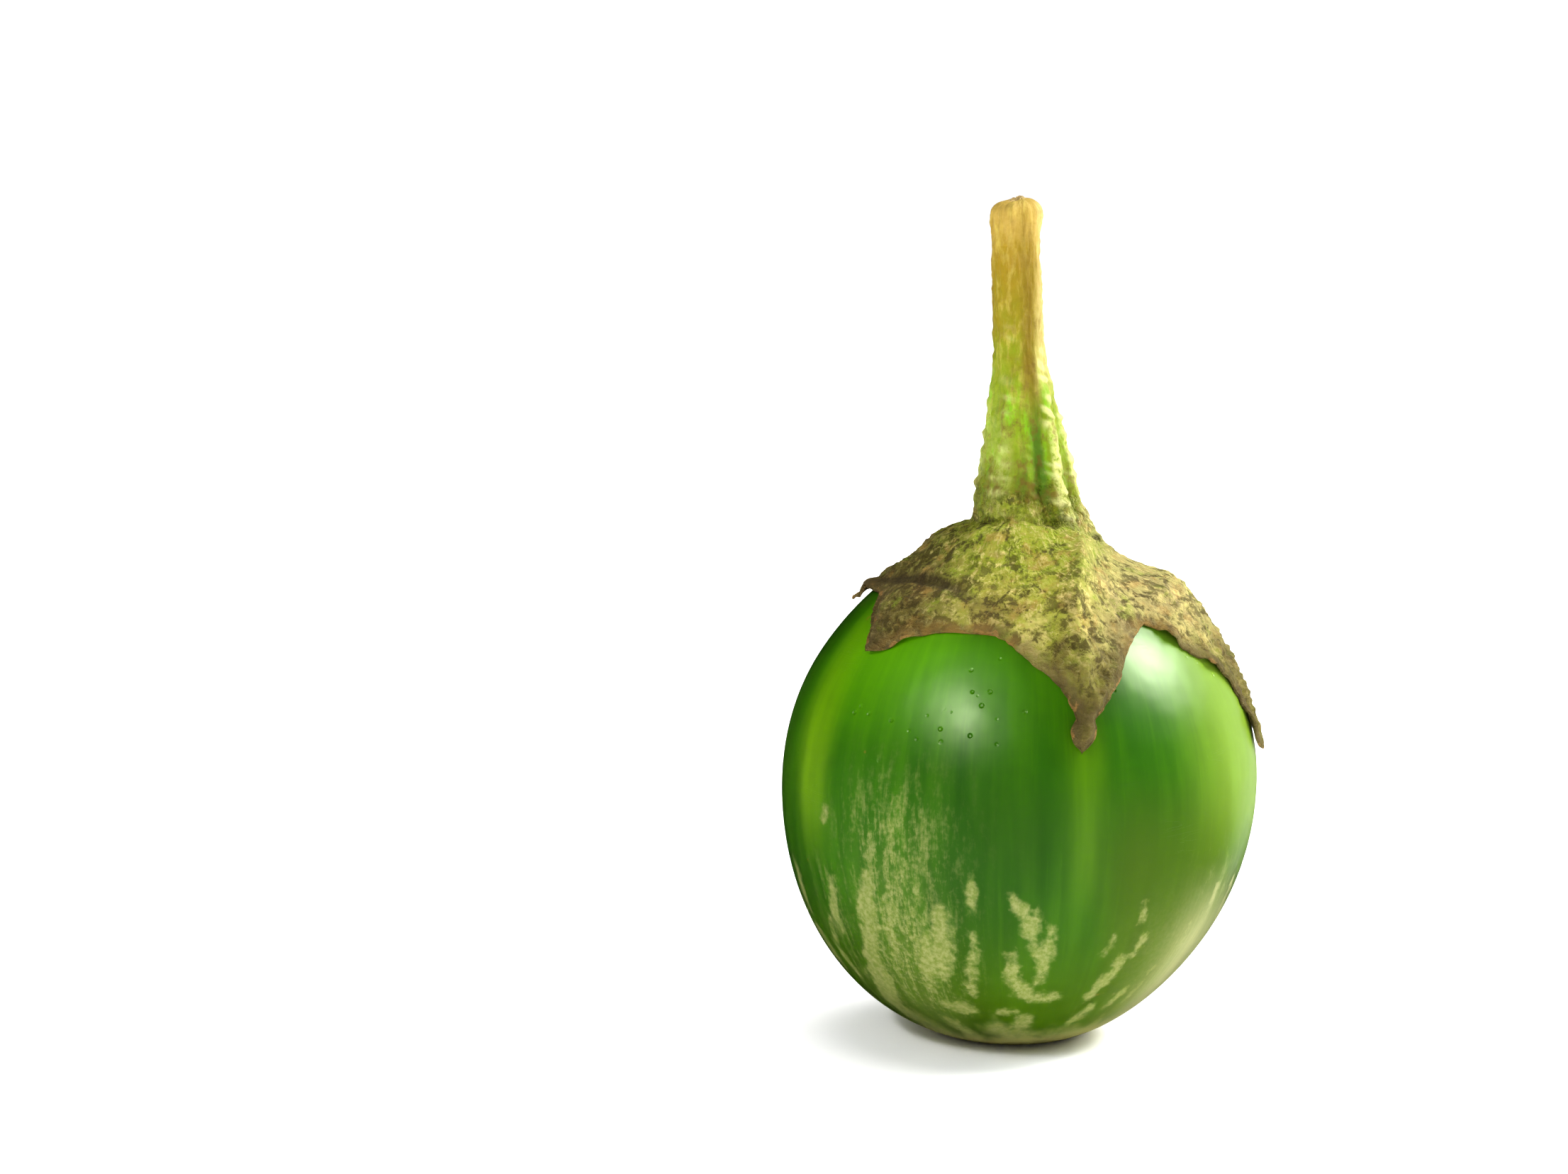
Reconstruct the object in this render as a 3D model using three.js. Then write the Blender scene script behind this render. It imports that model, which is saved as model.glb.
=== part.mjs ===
// A small round green eggplant, picked with its calyx and stalk, standing on its blossom end.
//
// Millimetres, +Z up. The origin is on the table, at the centre of the ring that the fruit rests on.
// A bearing is an angle round the fruit's axis: 0 faces -Y, the front, and 90 degrees faces +X, the right.
// A fall is an angle down a meridian of the fruit: 0 at the crown, 90 degrees at the widest ring.
import * as THREE from "three";

// Fruit
const fruitWidth = 50; // across the widest ring
const widestHeight = 27; // from the table to the widest ring
const crownRise = 26; // from the widest ring to the crown
const restOuter = 6.5; // outer radius of the flat ring that it rests on
const restInner = 3.2; // inner radius of that ring, where the blossom-end dimple starts
const dimpleDepth = 0.6; // of the dimple that holds the blossom scar
const dimpleFloor = 1.6; // radius over which the dimple's floor is nearly level

// Calyx: a cap of five sepals that grew together, with a pointed lobe at each sepal
const skinGap = 0.3; // between the skin and the calyx
const calyxThickAtStalk = 2.0;
const calyxThickAtEdge = 0.6;
const midribHeight = 0.5; // how far the rib of each lobe stands up
const midribSpread = 0.22; // half-width of a rib, as a share of the way from lobe to notch
const notchFall = 45; // degrees from the crown to the notches between the lobes
const lobeTaper = 3; // 1 gives straight-sided lobes, and more gives slender points
const lobes = [
  { bearing: -50, fall: 53 },
  { bearing: 15, fall: 73 },
  { bearing: 87, fall: 80 },
  { bearing: 162, fall: 70 },
  { bearing: 238, fall: 66 },
];

// Stalk
const stalkGap = 0.3; // between the calyx and the foot of the stalk
const stalkTop = 88.4; // from the table to the cut end
const stalkRadius = 2.7; // of the slender upper part
const footRadius = 6.3; // where it meets the calyx
const flareHeight = 11; // over which the foot narrows to the upper part
const footShift = 1.2; // the foot's centre, towards +X
const topShift = -0.4; // the cut end's centre, towards +X
const ribDepth = 0.07; // of the five ribs at the foot, as a share of the radius
const ribTwist = 25; // degrees that the ribs lie round from the lobes
const cutRounding = 0.8; // radius of the rounded rim of the cut end

// Fineness of the meshes
const fruitColumns = 72;
const fruitRows = 26;
const dimpleRows = 4;
const columnsPerHalfLobe = 8;
const tipCrowding = 1.5; // 1 spreads a lobe's columns evenly, and more gathers them towards its tip
const calyxRows = 12;
const stalkColumns = 40;
const footRows = 5;
const stalkRows = 18;
const roundingRows = 4;

const fruitRadius = fruitWidth / 2;
const restFall = Math.PI - Math.asin(restOuter / fruitRadius); // where the skin meets the resting ring
const bellyDrop = widestHeight / -Math.cos(restFall); // makes the skin meet the table there

const degrees = THREE.MathUtils.degToRad;
const lerp = THREE.MathUtils.lerp;

// The point at a bearing and a radius from the axis, both measured about the vertical line x = centreX.
function atBearing(bearing, radius, height, centreX = 0) {
  return new THREE.Vector3(
    centreX + radius * Math.sin(bearing),
    -radius * Math.cos(bearing),
    height,
  );
}

// The radius and height of the fruit's meridian at a fall, pushed outwards along its normal by offset.
// The upper and lower halves are quarter ellipses that share the widest ring.
function meridian(fall, offset = 0) {
  const rise = fall < Math.PI / 2 ? crownRise : bellyDrop;
  const normal = new THREE.Vector2(
    Math.sin(fall) / fruitRadius,
    Math.cos(fall) / rise,
  ).normalize();
  return new THREE.Vector2(
    fruitRadius * Math.sin(fall) + offset * normal.x,
    widestHeight + rise * Math.cos(fall) + offset * normal.y,
  );
}

// A closed skin whose columns run round the axis: each point of the profile is placed by place(turn, point),
// where turn goes from 0 to 1 round the axis. The profile starts and ends on the axis.
function wrapped(profile, columns, place) {
  const geometry = new THREE.LatheGeometry(profile, columns);
  const position = geometry.getAttribute("position");
  for (let i = 0; i < position.count; i++) {
    const column = Math.floor(i / profile.length) % columns;
    const placed = place(column / columns, profile[i % profile.length]);
    position.setXYZ(i, placed.x, placed.y, placed.z);
  }
  geometry.computeVertexNormals();
  return geometry;
}

function fruitGeometry() {
  const dimple = new THREE.QuadraticBezierCurve(
    new THREE.Vector2(0, dimpleDepth),
    new THREE.Vector2(dimpleFloor, dimpleDepth),
    new THREE.Vector2(restInner, 0),
  );
  const profile = dimple.getPoints(dimpleRows);
  for (let row = 0; row <= fruitRows; row++) {
    profile.push(meridian(restFall * (1 - row / fruitRows)));
  }
  profile.at(-1).x = 0;
  return wrapped(profile, fruitColumns, (turn, point) =>
    atBearing(turn * 2 * Math.PI, point.x, point.y),
  );
}

// The calyx's edge and midribs at a turn. Each lobe has the same number of columns, closest together at its tip.
// fromRib is 0 on a lobe's rib and 1 at a notch.
function calyxColumn(turn) {
  const along = turn * lobes.length;
  const here = lobes[Math.floor(along) % lobes.length];
  const next = lobes[(Math.floor(along) + 1) % lobes.length];
  const share = along % 1;
  const fromRib = (2 * Math.min(share, 1 - share)) ** tipCrowding;
  const halfSector = (((next.bearing - here.bearing + 360) % 360) / 2) * fromRib;
  const bearing =
    share < 0.5 ? here.bearing + halfSector : next.bearing - halfSector;
  const lobeFall = share < 0.5 ? here.fall : next.fall;
  const fall = lerp(notchFall, lobeFall, (1 - fromRib) ** lobeTaper);
  return { bearing: degrees(bearing), fall: degrees(fall), fromRib };
}

// How thick the calyx is at a share of the way from the stalk to its edge.
function calyxThickness(share, fromRib) {
  const rib = midribHeight * Math.exp(-((fromRib / midribSpread) ** 2));
  const ribFade = Math.sin(Math.PI * share);
  return lerp(calyxThickAtStalk, calyxThickAtEdge, share) + rib * ribFade;
}

// Profile x is the share of the way from the axis to the edge; y is 0 on the inner face and 1 on the outer face.
function calyxGeometry() {
  const profile = [];
  for (let row = 0; row <= calyxRows; row++) {
    profile.push(new THREE.Vector2(row / calyxRows, 0));
  }
  for (let row = calyxRows; row >= 0; row--) {
    profile.push(new THREE.Vector2(row / calyxRows, 1));
  }
  const columns = 2 * columnsPerHalfLobe * lobes.length;
  return wrapped(profile, columns, (turn, point) => {
    const { bearing, fall, fromRib } = calyxColumn(turn);
    const thickness = point.y * calyxThickness(point.x, fromRib);
    const at = meridian(fall * point.x, skinGap + thickness);
    return atBearing(bearing, at.x, at.y);
  });
}

// Height of the calyx's outer face, with its ribs at their tallest, above a point of the table near the stalk.
function calyxTopAt(x, y) {
  const outerRadius = fruitRadius + skinGap + calyxThickAtStalk;
  const fall = Math.asin(Math.min(1, Math.hypot(x, y) / outerRadius));
  const tallest = Math.max(
    ...lobes.map((lobe) => calyxThickness(Math.min(1, fall / degrees(lobe.fall)), 0)),
    calyxThickness(Math.min(1, fall / degrees(notchFall)), 0),
  );
  return meridian(fall, skinGap + tallest).y;
}

// Profile x is a share of the stalk's radius at that height; y is 0 over the foot's seat and 1 at the cut end.
function stalkGeometry() {
  const profile = [];
  for (let row = 0; row < footRows; row++) {
    profile.push(new THREE.Vector2(row / footRows, 0));
  }
  const length = stalkTop - calyxTopAt(footShift, 0) - stalkGap;
  const shoulder = 1 - cutRounding / length;
  for (let row = 0; row < stalkRows; row++) {
    profile.push(new THREE.Vector2(1, (shoulder * row) / stalkRows));
  }
  for (let row = 0; row <= roundingRows; row++) {
    const angle = (row / roundingRows) * (Math.PI / 2);
    profile.push(
      new THREE.Vector2(
        1 - (cutRounding / stalkRadius) * (1 - Math.cos(angle)),
        lerp(shoulder, 1, Math.sin(angle)),
      ),
    );
  }
  profile.push(new THREE.Vector2(0, 1));
  const firstRib = degrees(lobes[0].bearing + ribTwist);
  return wrapped(profile, stalkColumns, (turn, point) => {
    const bearing = turn * 2 * Math.PI;
    const flare = Math.exp(-(((point.y * length) / flareHeight) ** 2));
    const rib = 1 + ribDepth * flare * Math.cos(lobes.length * (bearing - firstRib));
    const radius = lerp(stalkRadius, footRadius, flare) * rib * point.x;
    const centreX = lerp(footShift, topShift, point.y);
    const placed = atBearing(bearing, radius, 0, centreX);
    const seat = calyxTopAt(placed.x, placed.y) + stalkGap;
    placed.z = lerp(seat, stalkTop, point.y);
    return placed;
  });
}

function piece(name, geometry, look) {
  const mesh = new THREE.Mesh(geometry, new THREE.MeshStandardMaterial(look));
  mesh.name = name;
  return mesh;
}

const eggplant = new THREE.Group();
eggplant.name = "eggplant";
eggplant.add(
  piece("fruit", fruitGeometry(), {
    color: 0x3f7d0e,
    roughness: 0.25,
    metalness: 0,
  }),
  piece("calyx", calyxGeometry(), {
    color: 0x8a8446,
    roughness: 0.85,
    metalness: 0,
  }),
  piece("stalk", stalkGeometry(), {
    color: 0xa6a33c,
    roughness: 0.7,
    metalness: 0,
  }),
);

export default eggplant;
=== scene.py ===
import bmesh
import bpy
import numpy as np
from mathutils import Euler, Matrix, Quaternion, Vector


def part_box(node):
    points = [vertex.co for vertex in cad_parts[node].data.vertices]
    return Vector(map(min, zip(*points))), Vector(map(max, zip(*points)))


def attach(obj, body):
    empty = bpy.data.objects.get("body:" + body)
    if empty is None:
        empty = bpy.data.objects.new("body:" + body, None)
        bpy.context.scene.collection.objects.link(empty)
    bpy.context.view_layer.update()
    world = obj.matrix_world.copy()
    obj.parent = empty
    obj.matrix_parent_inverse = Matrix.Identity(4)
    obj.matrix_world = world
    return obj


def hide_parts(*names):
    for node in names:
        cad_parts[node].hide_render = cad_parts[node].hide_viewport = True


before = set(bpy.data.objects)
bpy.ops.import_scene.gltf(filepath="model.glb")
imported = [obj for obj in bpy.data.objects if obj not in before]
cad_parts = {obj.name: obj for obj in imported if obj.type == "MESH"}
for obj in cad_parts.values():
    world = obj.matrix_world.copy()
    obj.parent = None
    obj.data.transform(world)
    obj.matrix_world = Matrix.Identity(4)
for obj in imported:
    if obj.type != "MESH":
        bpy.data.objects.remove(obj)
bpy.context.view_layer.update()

MM = 0.001

# Fruit
FRUIT_LOW, FRUIT_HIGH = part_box("fruit")
FRUIT_RADIUS = (FRUIT_HIGH.x - FRUIT_LOW.x) / 2
WIDEST_HEIGHT = 27 * MM
CROWN_RISE = FRUIT_HIGH.z - WIDEST_HEIGHT
BELLY_DROP = 27.96 * MM  # a little more than the widest height, so that the belly flattens on the table
REST_ROUNDING = 0.12 * MM  # how softly the belly meets the ring that it rests on
DIMPLE_RADIUS = 3.4 * MM
DIMPLE_DEPTH = 0.6 * MM
SCAR_HALF_SIZE = (1.25 * MM, 1.95 * MM)
SCAR_HEIGHT = 0.45 * MM
SCAR_CLEARANCE = 0.03 * MM  # the least height of the scar above the table
LUMP_HEIGHT, SHOULDER_HEIGHT = 0.20, 0.16  # mm that the skin's lumps and shoulders stand out
LEFT_FLATNESS, LOWER_LEAN = 0.75, 0.95  # mm off the left shoulder, and mm that the lower half leans left
FRUIT_COLUMNS, FRUIT_ROWS = 340, 280

# Calyx
SKIN_CURVE = 25.5 * MM  # skin per radian of fall, on the upper half of the fruit
SWIRL = 25  # degrees that the ribs lie round from the lobes, where they leave the stalk
SWIRL_FALLS = (44, 12)  # the falls between which the ribs turn by that much
CALYX_HALF_COLUMNS, INNER_ROWS, LOBE_ROWS = 22, 44, 84

# Stalk
STALK_LOW, STALK_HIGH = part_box("stalk")
STALK_SINK = 1.2 * MM  # how far below the CAD stalk's foot the stalk's line starts, inside the calyx
STALK_COLUMNS, STALK_ROWS, CUT_ROWS, FOOT_ROWS = 180, 260, 14, 6


# ---------------------------------------------------------------- curves and waves

def smooth(value, low, high):
    """0 below low, 1 above high, and 3 t^2 - 2 t^3 between them."""
    t = np.clip((np.asarray(value, float) - low) / (high - low), 0, 1)
    return t * t * (3 - 2 * t)


def mix(a, b, share):
    """a where the share is 0, b where it is 1."""
    return a + (b - a) * share


def bell(value, centre, width):
    """exp(-((value - centre) / width)^2)."""
    return np.exp(-(((value - centre) / width) ** 2))


def flowing(knots, values, at):
    """A smooth curve through values at the knots: cubic Hermite pieces. The slope at a knot is the mean of
    the straight slopes on both sides of it, and at either end it is the one straight slope there."""
    knots, values = np.asarray(knots, float), np.asarray(values, float)
    steps = np.diff(values) / np.diff(knots)
    slopes = np.concatenate([steps[:1], (steps[:-1] + steps[1:]) / 2, steps[-1:]])
    at = np.clip(at, knots[0], knots[-1])
    i = np.clip(np.searchsorted(knots, at, side="right") - 1, 0, len(knots) - 2)
    width = knots[i + 1] - knots[i]
    t = (at - knots[i]) / width
    return (
        values[i] * (1 + 2 * t) * (1 - t) ** 2
        + values[i + 1] * t * t * (3 - 2 * t)
        + slopes[i] * width * t * (1 - t) ** 2
        - slopes[i + 1] * width * t * t * (1 - t)
    )


def signed(degrees):
    """The same angle between -180 and 180 degrees."""
    return (degrees + 180) % 360 - 180


def waves(points, size, seed, count=48):
    """Uneven lumps of about that size: the sum of count cosine waves in random directions, of random phase
    and of a wavelength from 0.7 to 1.6 times the size, scaled so that most values lie between -1 and 1."""
    rng = np.random.default_rng(seed)
    directions = rng.normal(size=(points.shape[-1], count))
    directions /= np.linalg.norm(directions, axis=0)
    lengths = size * rng.uniform(0.7, 1.6, count)
    phases = rng.uniform(0, 2 * np.pi, count)
    return np.cos(points @ (directions * (2 * np.pi / lengths)) + phases).sum(-1) / np.sqrt(count / 1.2)


def round_axis(bearing, radius, height):
    """The point at a bearing in radians, a radius and a height: (r sin b, -r cos b, z)."""
    bearing, radius, height = np.broadcast_arrays(bearing, radius, height)
    return np.stack([radius * np.sin(bearing), -radius * np.cos(bearing), height], -1)


def unit_points(bearing, fall):
    """Points of a unit ball at a bearing and a fall in radians."""
    return np.stack([np.sin(fall) * np.sin(bearing), -np.sin(fall) * np.cos(bearing), np.cos(fall)], -1)


def skin_lumps(bearing, fall):
    """How far the skin stands out of its meridian: wide low lumps, five weak shoulders like those of a
    pepper, a flatter left shoulder, and a lean of the lower half to the left. All fade to 0 at the crown and
    at the blossom end."""
    lumps = LUMP_HEIGHT * waves(unit_points(bearing, fall), 1.3, 3, 20)
    shoulders = SHOULDER_HEIGHT * np.cos(5 * bearing - np.radians(20)) * smooth(fall, 2.4, 0.7)
    left = np.clip(-unit_points(bearing, fall)[..., 0], 0, 1)
    flat_left = LEFT_FLATNESS * left * bell(fall, 0.72, 0.3)
    lean = LOWER_LEAN * np.sin(bearing) * bell(fall, 2.4, 0.5) * np.sqrt(np.abs(np.sin(fall)))
    return ((lumps + shoulders - flat_left) * np.sin(fall) ** 2 - lean) * MM


def over_skin(bearing, fall, height):
    """Points a height above the skin, at a bearing and a fall in radians. The meridian's upper and lower
    halves are quarter ellipses that share the widest ring, r = R sin f and z = widest height + rise cos f,
    and each point is pushed out along the meridian's normal by the skin's lumps and the height."""
    rise = np.where(fall < np.pi / 2, CROWN_RISE, BELLY_DROP)
    out = np.stack([np.sin(fall) / FRUIT_RADIUS, np.cos(fall) / rise])
    out /= np.linalg.norm(out, axis=0)
    push = height + skin_lumps(bearing, fall)
    radius = FRUIT_RADIUS * np.sin(fall) + push * out[0]
    return round_axis(bearing, radius, WIDEST_HEIGHT + rise * np.cos(fall) + push * out[1])


# ---------------------------------------------------------------- meshes

def grid_faces(rows, columns, closed, start=0):
    """Quads of a grid of points in row order. A closed grid joins its last column to its first."""
    row = np.arange(rows - 1)[:, None] * columns
    column = np.arange(columns if closed else columns - 1)[None, :]
    after = (column + 1) % columns
    corners = (row + column, row + after, row + columns + after, row + columns + column)
    return np.stack([c.ravel() for c in corners], -1) + start


def new_piece(name, points, faces, material, values=None, weld=0.5e-6):
    """A smooth mesh from points and quads, with values as its attributes. Points in the same place are
    merged, so quads that end in a pole become triangles."""
    mesh = bpy.data.meshes.new(name)
    mesh.from_pydata(points.tolist(), [], faces.tolist())
    for key, value in (values or {}).items():
        layer = mesh.attributes.new(key, "FLOAT", "POINT")
        layer.data.foreach_set("value", np.asarray(value, np.float32).ravel())
    work = bmesh.new()
    work.from_mesh(mesh)
    bmesh.ops.remove_doubles(work, verts=work.verts, dist=weld)
    bmesh.ops.dissolve_degenerate(work, edges=work.edges, dist=weld)
    bmesh.ops.recalc_face_normals(work, faces=work.faces)
    work.to_mesh(mesh)
    work.free()
    mesh.shade_smooth()
    mesh.materials.append(material)
    piece = bpy.data.objects.new(name, mesh)
    bpy.context.scene.collection.objects.link(piece)
    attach(piece, "root")
    return piece


# ---------------------------------------------------------------- shader maths

class Value:
    """A number that changes over a surface. Arithmetic on it adds Math nodes."""

    def __init__(self, paint, socket):
        self.paint, self.socket = paint, socket

    def math(self, operation, *others):
        """A Math node on this value and the others."""
        inputs = {i: other for i, other in enumerate((self, *others))}
        return self.paint.node("ShaderNodeMath", {"operation": operation}, inputs)[0]

    def __add__(self, other):
        return self.math("ADD", other)

    def __sub__(self, other):
        return self.math("SUBTRACT", other)

    def __mul__(self, other):
        return self.math("MULTIPLY", other)

    def __truediv__(self, other):
        return self.math("DIVIDE", other)

    def __rsub__(self, other):
        return self.math("MULTIPLY", -1).math("ADD", other)

    __radd__, __rmul__ = __add__, __mul__

    def least(self, other):
        return self.math("MINIMUM", other)

    def most(self, other):
        return self.math("MAXIMUM", other)

    def ease(self, low, high, start=0.0, end=1.0):
        """start below low, end above high, and a smooth step between them."""
        settings = {"interpolation_type": "SMOOTHSTEP"}
        inputs = {"Value": self, "From Min": low, "From Max": high, "To Min": start, "To Max": end}
        return self.paint.node("ShaderNodeMapRange", settings, inputs)[0]

    def bell(self, centre, width):
        """exp(-((value - centre) / width)^2)."""
        share = (self - centre) / width
        return (share * share * -1).math("EXPONENT")

    def ramp(self, *stops):
        """Colours at places along the value, with an even change between them."""
        return self.paint.node("ShaderNodeValToRGB", {"stops": stops}, {"Fac": self})[0]


class Paint:
    """The node tree of one material, with a Principled shader whose constant sockets are set by name."""

    def __init__(self, name, **constants):
        self.material = bpy.data.materials.new(name)
        self.material.use_nodes = True
        self.tree = self.material.node_tree
        self.shader = self.tree.nodes["Principled BSDF"]
        for key, value in constants.items():
            self.shader.inputs[key.replace("_", " ")].default_value = value

    def node(self, kind, settings, inputs):
        """Adds a node, sets it, then fills its sockets by name or number with values or links. Gives its
        outputs as Values."""
        made = self.tree.nodes.new(kind)
        for key, value in settings.items():
            if key == "stops":
                self.set_stops(made.color_ramp, value)
            else:
                setattr(made, key, value)
        for key, value in inputs.items():
            if isinstance(value, Value):
                self.tree.links.new(value.socket, made.inputs[key])
            else:
                made.inputs[key].default_value = value
        return [Value(self, socket) for socket in made.outputs if socket.enabled]

    @staticmethod
    def set_stops(ramp, stops):
        """Gives a colour ramp its stops, each a place and a colour."""
        while len(ramp.elements) < len(stops):
            ramp.elements.new(1)
        for element, (place, colour) in zip(ramp.elements, stops):
            element.position, element.color = place, (*colour, 1)

    def here(self):
        """The Object coordinates."""
        return self.node("ShaderNodeTexCoord", {}, {})[3]

    def attribute(self, name):
        """The piece's own value of that name."""
        return self.node("ShaderNodeAttribute", {"attribute_name": name}, {})[2]

    def split(self, vector):
        """The x, y and z of a vector."""
        return self.node("ShaderNodeSeparateXYZ", {}, {0: vector})

    def join(self, x, y, z):
        """A vector of x, y and z."""
        return self.node("ShaderNodeCombineXYZ", {}, {0: x, 1: y, 2: z})[0]

    def along(self, place, across, lengthwise):
        """Coordinates in which a noise of scale 1 is `across` radians wide round the axis and `lengthwise`
        metres long: (x / r, y / r, 0) / across + (0, 0, z) / lengthwise."""
        x, y, z = self.split(place)
        flat = self.join(x, y, 0.0)
        turn = self.node("ShaderNodeVectorMath", {"operation": "NORMALIZE"}, {0: flat})[0]
        turn_x, turn_y, _ = self.split(turn)
        return self.join(turn_x / across, turn_y / across, z / lengthwise)

    def noise(self, vector, scale=1.0, detail=2.0, roughness=0.5, distortion=0.0):
        """Noise from 0 to 1."""
        inputs = {"Vector": vector, "Scale": scale, "Detail": detail, "Roughness": roughness,
                  "Distortion": distortion}
        return self.node("ShaderNodeTexNoise", {}, inputs)[0]

    def cells(self, vector, scale):
        """Distance from the middle of the nearest cell, in cells."""
        return self.node("ShaderNodeTexVoronoi", {}, {"Vector": vector, "Scale": scale})[0]

    def blend(self, below, above, factor):
        """The colour above laid over the colour below by a factor."""
        below, above = (c if isinstance(c, Value) else (*c, 1) for c in (below, above))
        settings = {"data_type": "RGBA", "clamp_factor": True}
        return self.node("ShaderNodeMix", settings, {0: factor, 6: below, 7: above})[0]

    def bump(self, height, strength=1.0):
        """A Normal from a height in metres."""
        inputs = {"Strength": strength, "Distance": 1.0, "Height": height}
        return self.node("ShaderNodeBump", {}, inputs)[0]

    def feed(self, **links):
        """Links values to the shader's sockets by name, and gives the finished material."""
        for key, value in links.items():
            self.tree.links.new(value.socket, self.shader.inputs[key.replace("_", " ")])
        return self.material


# ---------------------------------------------------------------- fruit

# Pale marks on the skin that faces the front: bearing and fall of both ends in degrees, and width in mm.
FRONT_MARKS = [
    (-11, 101, -11, 109, 0.7), (-1, 106, 2, 110, 1.5), (4, 109, 4, 114, 1.0), (2, 110, 5, 120, 0.8),
    (8, 114, 7, 127, 1.25), (7, 126, 5, 128, 0.7), (-11, 115, -14, 132, 1.0), (-1.5, 120, -1, 128, 1.6),
    (-1, 127, 4, 133, 1.8), (4, 133.5, 12, 133.5, 1.5), (-5, 138, 0, 138, 0.9), (3, 141, -3, 152, 2.0),
    (-24, 136, -15, 138, 2.0), (-28, 142, -23, 150, 1.8), (-19, 109, -22, 127, 2.4),
    (-24, 116, -27, 131, 2.0), (36, 117, 34, 122, 1.5), (31, 123, 24, 135, 1.5), (40, 133, 34, 140, 1.3),
    (28, 139, 22, 146, 1.5), (33, 108, 33, 113, 0.5), (26, 116, 24, 121, 0.5), (53, 116, 56, 138, 1.4),
    (60, 108, 62, 126, 1.3), (-52, 106, -56, 116, 1.2), (-58, 116, -60, 122, 1.0),
    (-62, 124, -58, 132, 1.0), (-52, 91, -53, 94, 0.2), (-39, 104, -44, 124, 2.6),
    (-43, 120, -50, 142, 3.4), (-49, 138, -40, 152, 3.4), (-33, 108, -36, 128, 1.3),
    (-53, 110, -55, 119, 0.9), (46, 128, 44, 140, 1.0),
]
BACK_MARKS = 90
BACK_START, BACK_END = 68, 292  # the bearings between which marks are strewn at random
BACK_HIGHEST, BACK_SPAN = 102, 52  # the fall of the highest mark there, and how far down the others lie
FAR_OUTSIDE = -9.0  # depth in mm of a point that is near no mark
END_WIDTH = 0.55  # of a mark's width, at its ends
ROW_GATHERING = 0.16  # radians, at the most, by which the skin's rows are drawn to the widest ring
SKIN_ROUGHNESS = 0.281


def back_marks():
    """Pale marks round the back: the lower down, the longer and wider they are."""
    rng = np.random.default_rng(11)
    bearing = rng.uniform(BACK_START, BACK_END, BACK_MARKS)
    fall = BACK_HIGHEST + BACK_SPAN * rng.uniform(0, 1, BACK_MARKS) ** 0.75
    size = rng.uniform(0.6, 1.3, BACK_MARKS) * (fall - 75) / 50
    lean = rng.normal(0, 3.5, BACK_MARKS)
    return np.stack([bearing, fall, bearing + lean, fall + 6 + 6 * size, 0.6 + 1.3 * size], -1)


def depth_in_marks(bearing, fall):
    """Millimetres by which each point lies inside the nearest mark, below 0 outside: a mark is all points
    closer than half its width to the line between its ends, and it narrows towards both."""
    marks = np.concatenate([np.array(FRONT_MARKS), back_marks()])
    start = unit_points(*np.radians(marks[:, :2].T))
    line = unit_points(*np.radians(marks[:, 2:4].T)) - start
    points = unit_points(bearing, fall)
    best = np.full(bearing.shape, FAR_OUTSIDE)
    for a, d, width in zip(start, line, marks[:, 4]):
        share = np.clip(((points - a) @ d) / (d @ d), 0, 1)
        away = np.linalg.norm(points - a - share[..., None] * d, axis=-1) * FRUIT_RADIUS / MM
        half = width / 2 * (1 - (1 - END_WIDTH) * (2 * share - 1) ** 2)
        best = np.maximum(best, half - away)
    return best


def fruit_surface():
    """The skin, pressed flat on the table by z = (z + sqrt(z^2 + 4 k^2)) / 2, and hollowed by a dimple whose
    depth goes as (1 - (r/R)^2)^2. An oval scar hangs in the dimple."""
    fall = np.linspace(0, np.pi, FRUIT_ROWS)
    fall = fall + ROW_GATHERING * np.sin(2 * fall)
    bearing = np.linspace(0, 2 * np.pi, FRUIT_COLUMNS, endpoint=False)
    fall, bearing = np.meshgrid(fall, bearing, indexing="ij")
    points = over_skin(bearing, fall, 0)
    height = points[..., 2]
    points[..., 2] = (height + np.sqrt(height ** 2 + 4 * REST_ROUNDING ** 2)) / 2
    below = fall > np.pi / 2
    away = np.clip(np.hypot(points[..., 0], points[..., 1]) / DIMPLE_RADIUS, 0, 1)
    points[..., 2] += np.where(below, DIMPLE_DEPTH * (1 - away ** 2) ** 2, 0)
    oval = np.hypot(points[..., 0] / SCAR_HALF_SIZE[0], points[..., 1] / SCAR_HALF_SIZE[1])
    oval += 0.14 * waves(points, 1.1 * MM, 5, 16)
    scar = np.where(below, smooth(oval, 1.1, 0.85), 0)
    cork = 0.75 + 0.25 * waves(points, 0.6 * MM, 6, 24)
    corked = np.maximum(points[..., 2] - scar * SCAR_HEIGHT * cork, SCAR_CLEARANCE)
    points[..., 2] = np.where(scar > 0, corked, points[..., 2])
    return points, {"mark": depth_in_marks(bearing, fall), "scar": scar, "fall": fall / np.pi}


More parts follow.
